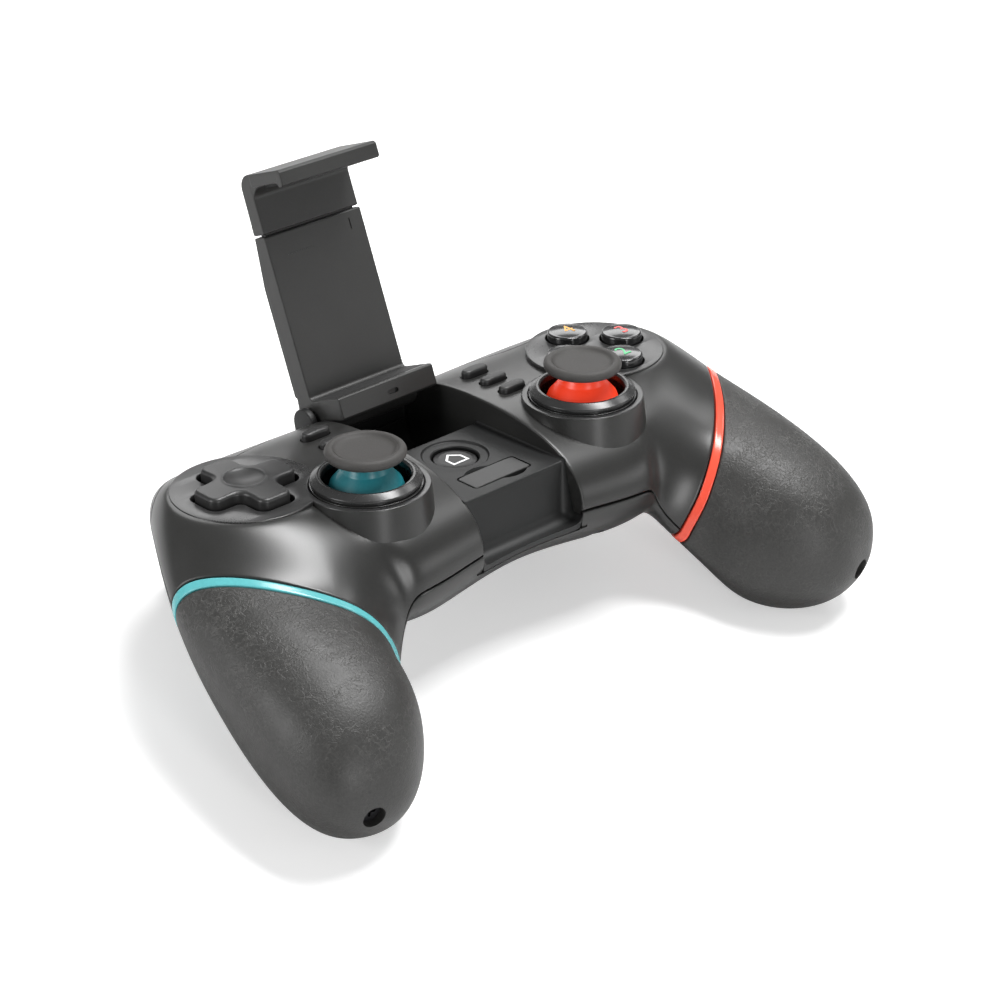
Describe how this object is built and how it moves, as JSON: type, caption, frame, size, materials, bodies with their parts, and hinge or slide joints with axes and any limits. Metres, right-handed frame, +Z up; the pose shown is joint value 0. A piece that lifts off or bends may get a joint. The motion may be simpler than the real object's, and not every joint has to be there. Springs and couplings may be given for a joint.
{
  "type": "wireless gamepad with fold-up phone clip",
  "caption": "Two-handled wireless gamepad with thumbsticks, cross pad, round buttons, shoulder triggers and a spring phone clip that folds into its middle channel.",
  "frame": {"origin": "middle of the footprint on the table, with the gamepad standing on its grip ends and trigger tips", "axes": "+X to the player's right, +Y away from the player, +Z up; the control faces lean back by 12 degrees"},
  "size_m": [0.162, 0.1182, 0.0812],
  "materials": {
    "body_plastic": "satin, fine texture",
    "grip_skin": "fine leathery grain, matt",
    "band_left": "glossy teal",
    "band_right": "glossy coral red",
    "ring_plastic": "satin",
    "cap_rubber": "matt",
    "dome_left": "satin teal",
    "dome_right": "satin red-orange",
    "button_gloss": "polished",
    "key_plastic": "satin",
    "mechanism": "moulded",
    "mat_silicone": "translucent grey",
    "board": "circuit board",
    "cell_wrap": "foil wrap",
    "steel": "plain",
    "black_steel": "black oxide",
    "clip_plastic": "satin",
    "pad_rubber": "ribbed"
  },
  "bodies": {
    "body": {"top_cover": "body_plastic", "bottom_cover": "body_plastic", "body_screws": "black_steel", "grip_screws": "black_steel", "face_button_mat": "mat_silicone", "face_button_board": "board", "dpad_base": "mechanism", "main_board": "board", "battery": "cell_wrap", "usb_socket": "steel", "clip_hinge_pin": "steel", "left_grip_cover": "grip_skin", "left_grip_frame": "body_plastic", "left_trim_band": "band_left", "left_stick_bezel": "ring_plastic", "left_stick_housing": "mechanism", "left_bar_mat": "mat_silicone", "left_trigger_pin": "steel", "left_trigger_spring": "steel", "right_grip_cover": "grip_skin", "right_grip_frame": "body_plastic", "right_trim_band": "band_right", "right_stick_bezel": "ring_plastic", "right_stick_housing": "mechanism", "right_bar_mat": "mat_silicone", "right_trigger_pin": "steel", "right_trigger_spring": "steel"},
    "left_gimbal": {"left_stick_gimbal": "mechanism"},
    "left_rocker": {"left_stick_rocker": "mechanism"},
    "left_stick": {"left_stick_cap": "cap_rubber", "left_stick_dome": "dome_left"},
    "left_bumper": {"left_bumper": "body_plastic"},
    "left_trigger": {"left_trigger": "key_plastic"},
    "left_bar_back": {"left_bar_button_back": "button_gloss"},
    "left_bar_middle": {"left_bar_button_middle": "button_gloss"},
    "left_bar_front": {"left_bar_button_front": "button_gloss"},
    "right_gimbal": {"right_stick_gimbal": "mechanism"},
    "right_rocker": {"right_stick_rocker": "mechanism"},
    "right_stick": {"right_stick_cap": "cap_rubber", "right_stick_dome": "dome_right"},
    "right_bumper": {"right_bumper": "body_plastic"},
    "right_trigger": {"right_trigger": "key_plastic"},
    "right_bar_back": {"right_bar_button_back": "button_gloss"},
    "right_bar_middle": {"right_bar_button_middle": "button_gloss"},
    "right_bar_front": {"right_bar_button_front": "button_gloss"},
    "face_back": {"face_button_back": "button_gloss"},
    "face_right": {"face_button_right": "button_gloss"},
    "face_front": {"face_button_front": "button_gloss"},
    "face_left": {"face_button_left": "button_gloss"},
    "dpad_rock": {"dpad_pivot": "mechanism"},
    "dpad": {"dpad": "button_gloss"},
    "home": {"home_button": "button_gloss"},
    "key": {"release_key": "key_plastic"},
    "clip": {"clip_plate": "clip_plastic", "clip_back_cover": "clip_plastic", "clip_slider_spring": "steel", "lower_jaw_pad": "pad_rubber"},
    "slider": {"clip_slider": "clip_plastic", "upper_jaw_pad": "pad_rubber"}
  },
  "joints": [
    {"name": "left_stick_forward", "type": "hinge", "parent": "body", "child": "left_gimbal", "pos_m": [-0.0304, -0.00732, 0.03173], "axis": [1, 0, 0], "range_deg": [-12, 12], "stiffness_Nm_per_rad": 0.05},
    {"name": "left_stick_sideways", "type": "hinge", "parent": "left_gimbal", "child": "left_rocker", "pos_m": [-0.0304, -0.00732, 0.03173], "axis": [0, 0.9781, -0.2079], "range_deg": [-12, 12], "stiffness_Nm_per_rad": 0.05},
    {"name": "left_stick_click", "type": "slide", "parent": "left_rocker", "child": "left_stick", "axis": [0, -0.2079, -0.9781], "range_m": [0, 0.0005], "stiffness_N_per_m": 1500, "springref_m": -0.001},
    {"name": "left_bar_back_press", "type": "slide", "parent": "body", "child": "left_bar_back", "axis": [0, -0.2079, -0.9781], "range_m": [0, 0.0006], "stiffness_N_per_m": 600, "springref_m": -0.0006},
    {"name": "left_bar_middle_press", "type": "slide", "parent": "body", "child": "left_bar_middle", "axis": [0, -0.2079, -0.9781], "range_m": [0, 0.0006], "stiffness_N_per_m": 600, "springref_m": -0.0006},
    {"name": "left_bar_front_press", "type": "slide", "parent": "body", "child": "left_bar_front", "axis": [0, -0.2079, -0.9781], "range_m": [0, 0.0006], "stiffness_N_per_m": 600, "springref_m": -0.0006},
    {"name": "left_bumper_press", "type": "slide", "parent": "body", "child": "left_bumper", "axis": [0, -0.2079, -0.9781], "range_m": [0, 0.0008], "stiffness_N_per_m": 1500, "springref_m": -0.0006},
    {"name": "left_trigger_pull", "type": "hinge", "parent": "body", "child": "left_trigger", "pos_m": [-0.0395, 0.02298, 0.01966], "axis": [-1, 0, 0], "range_deg": [0, 18], "stiffness_Nm_per_rad": 0.15, "springref_deg": -11.46},
    {"name": "right_stick_forward", "type": "hinge", "parent": "body", "child": "right_gimbal", "pos_m": [0.0304, -0.00732, 0.03173], "axis": [1, 0, 0], "range_deg": [-12, 12], "stiffness_Nm_per_rad": 0.05},
    {"name": "right_stick_sideways", "type": "hinge", "parent": "right_gimbal", "child": "right_rocker", "pos_m": [0.0304, -0.00732, 0.03173], "axis": [0, 0.9781, -0.2079], "range_deg": [-12, 12], "stiffness_Nm_per_rad": 0.05},
    {"name": "right_stick_click", "type": "slide", "parent": "right_rocker", "child": "right_stick", "axis": [0, -0.2079, -0.9781], "range_m": [0, 0.0005], "stiffness_N_per_m": 1500, "springref_m": -0.001},
    {"name": "right_bar_back_press", "type": "slide", "parent": "body", "child": "right_bar_back", "axis": [0, -0.2079, -0.9781], "range_m": [0, 0.0006], "stiffness_N_per_m": 600, "springref_m": -0.0006},
    {"name": "right_bar_middle_press", "type": "slide", "parent": "body", "child": "right_bar_middle", "axis": [0, -0.2079, -0.9781], "range_m": [0, 0.0006], "stiffness_N_per_m": 600, "springref_m": -0.0006},
    {"name": "right_bar_front_press", "type": "slide", "parent": "body", "child": "right_bar_front", "axis": [0, -0.2079, -0.9781], "range_m": [0, 0.0006], "stiffness_N_per_m": 600, "springref_m": -0.0006},
    {"name": "right_bumper_press", "type": "slide", "parent": "body", "child": "right_bumper", "axis": [0, -0.2079, -0.9781], "range_m": [0, 0.0008], "stiffness_N_per_m": 1500, "springref_m": -0.0006},
    {"name": "right_trigger_pull", "type": "hinge", "parent": "body", "child": "right_trigger", "pos_m": [0.0395, 0.02298, 0.01966], "axis": [-1, 0, 0], "range_deg": [0, 18], "stiffness_Nm_per_rad": 0.15, "springref_deg": -11.46},
    {"name": "face_right_press", "type": "slide", "parent": "body", "child": "face_right", "axis": [0, -0.2079, -0.9781], "range_m": [0, 0.0012], "stiffness_N_per_m": 600, "springref_m": -0.0008},
    {"name": "face_back_press", "type": "slide", "parent": "body", "child": "face_back", "axis": [0, -0.2079, -0.9781], "range_m": [0, 0.0012], "stiffness_N_per_m": 600, "springref_m": -0.0008},
    {"name": "face_left_press", "type": "slide", "parent": "body", "child": "face_left", "axis": [0, -0.2079, -0.9781], "range_m": [0, 0.0012], "stiffness_N_per_m": 600, "springref_m": -0.0008},
    {"name": "face_front_press", "type": "slide", "parent": "body", "child": "face_front", "axis": [0, -0.2079, -0.9781], "range_m": [0, 0.0012], "stiffness_N_per_m": 600, "springref_m": -0.0008},
    {"name": "dpad_forward", "type": "hinge", "parent": "body", "child": "dpad_rock", "pos_m": [-0.0492, 0.00859, 0.03417], "axis": [1, 0, 0], "range_deg": [-4, 4], "stiffness_Nm_per_rad": 0.3},
    {"name": "dpad_sideways", "type": "hinge", "parent": "dpad_rock", "child": "dpad", "pos_m": [-0.0492, 0.00859, 0.03417], "axis": [0, 0.9781, -0.2079], "range_deg": [-4, 4], "stiffness_Nm_per_rad": 0.3},
    {"name": "home_press", "type": "slide", "parent": "body", "child": "home", "axis": [0, -0.2079, -0.9781], "range_m": [0, 0.0006], "stiffness_N_per_m": 600, "springref_m": -0.0006},
    {"name": "key_press", "type": "slide", "parent": "body", "child": "key", "axis": [0, -0.2079, -0.9781], "range_m": [0, 0.0012], "stiffness_N_per_m": 600, "springref_m": -0.0008},
    {"name": "clip_fold", "type": "hinge", "parent": "body", "child": "clip", "pos_m": [0, 0.03065, 0.02962], "axis": [1, 0, 0], "range_deg": [0, 111.2]},
    {"name": "clip_extend", "type": "slide", "parent": "clip", "child": "slider", "axis": [0, 0.5476, 0.8368], "range_m": [0, 0.028], "stiffness_N_per_m": 120, "springref_m": -0.01}
  ]
}
